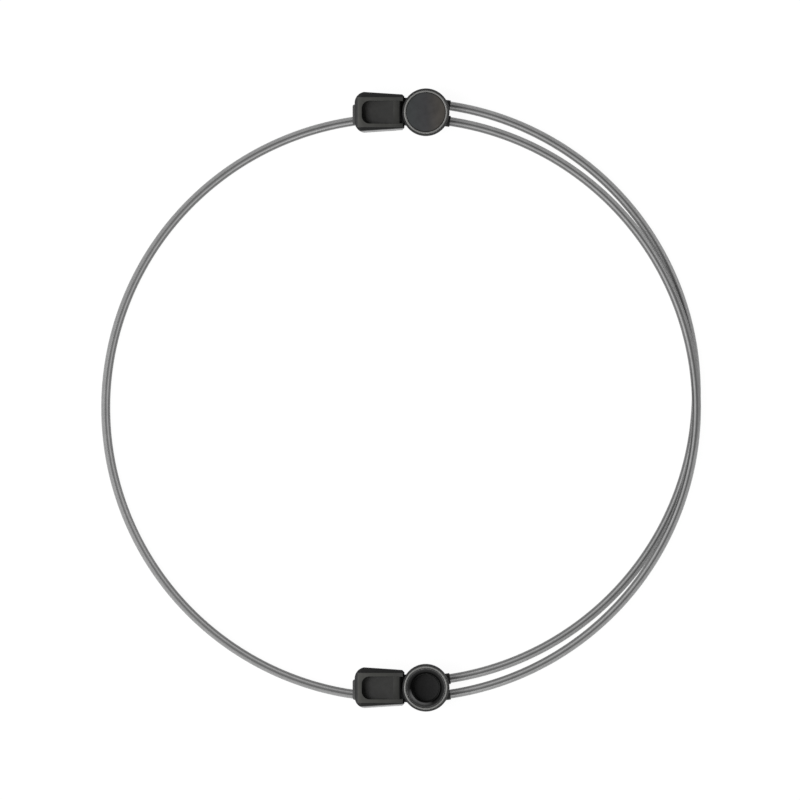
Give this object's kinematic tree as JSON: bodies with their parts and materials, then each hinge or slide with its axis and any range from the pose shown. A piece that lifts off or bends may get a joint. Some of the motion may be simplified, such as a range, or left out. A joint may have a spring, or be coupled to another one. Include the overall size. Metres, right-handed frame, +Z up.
{
  "type": "esd wrist strap",
  "caption": "Adjustable anti-static wrist strap: a sheathed steel cable loop with sliding lever-grip clasps, one with a snap socket for an earth cord.",
  "frame": {"origin": "centre of the loop, on the surface that the strap lies on", "axes": "+Z up from the surface, through the loop; +Y from the lower clasp to the upper clasp; +X towards the side where two strands run"},
  "size_m": [0.0694, 0.072, 0.0045],
  "materials": {
    "core_steel": "stranded steel",
    "sheath": "half-clear grey",
    "black_plastic": "moulded, satin",
    "lever_plastic": "moulded, satin",
    "pad_rubber": "matt",
    "collar_rubber": "matt",
    "steel": "brushed",
    "bezel_metal": "polished, dulled",
    "socket_metal": "dark plated",
    "cap_metal": "dark, faintly brushed"
  },
  "bodies": {
    "cable": {"cable_core": "core_steel", "cable_sheath": "sheath"},
    "clasp_upper": {"body_upper": "black_plastic", "skin_plate_upper": "steel", "plate_screws_upper": "steel", "hinge_pin_upper": "steel", "ferrule_upper": "steel", "exit_collars_upper": "collar_rubber", "contact_pin_upper": "steel", "socket_cup_upper": "socket_metal", "snap_ring_upper": "steel", "bezel_upper": "bezel_metal", "blanking_cap": "cap_metal"},
    "lever_arm_upper": {"lever_upper": "lever_plastic", "grip_pad_upper": "pad_rubber"},
    "clasp_lower": {"body_lower": "black_plastic", "skin_plate_lower": "steel", "plate_screws_lower": "steel", "hinge_pin_lower": "steel", "ferrule_lower": "steel", "exit_collars_lower": "collar_rubber", "contact_pin_lower": "steel", "socket_cup_lower": "socket_metal", "snap_ring_lower": "steel", "bezel_lower": "bezel_metal"},
    "lever_arm_lower": {"lever_lower": "lever_plastic", "grip_pad_lower": "pad_rubber"}
  },
  "joints": [
    {"name": "clasp_slide_upper", "type": "hinge", "parent": "cable", "child": "clasp_upper", "pos_m": [0, 0, 0], "axis": [0, 0, 1], "range_deg": [-30, 30], "deforming": ["cable_core", "cable_sheath"]},
    {"name": "lever_hinge_upper", "type": "hinge", "parent": "clasp_upper", "child": "lever_arm_upper", "pos_m": [-0.00052, 0.03326, 0.00363], "axis": [0, 1, 0], "range_deg": [0, 75]},
    {"name": "clasp_slide_lower", "type": "hinge", "parent": "cable", "child": "clasp_lower", "pos_m": [0, 0, 0], "axis": [0, 0, 1], "range_deg": [-30, 30], "deforming": ["cable_core", "cable_sheath"]},
    {"name": "lever_hinge_lower", "type": "hinge", "parent": "clasp_lower", "child": "lever_arm_lower", "pos_m": [-0.00052, -0.03326, 0.00363], "axis": [0, 1, 0], "range_deg": [0, 75]}
  ]
}
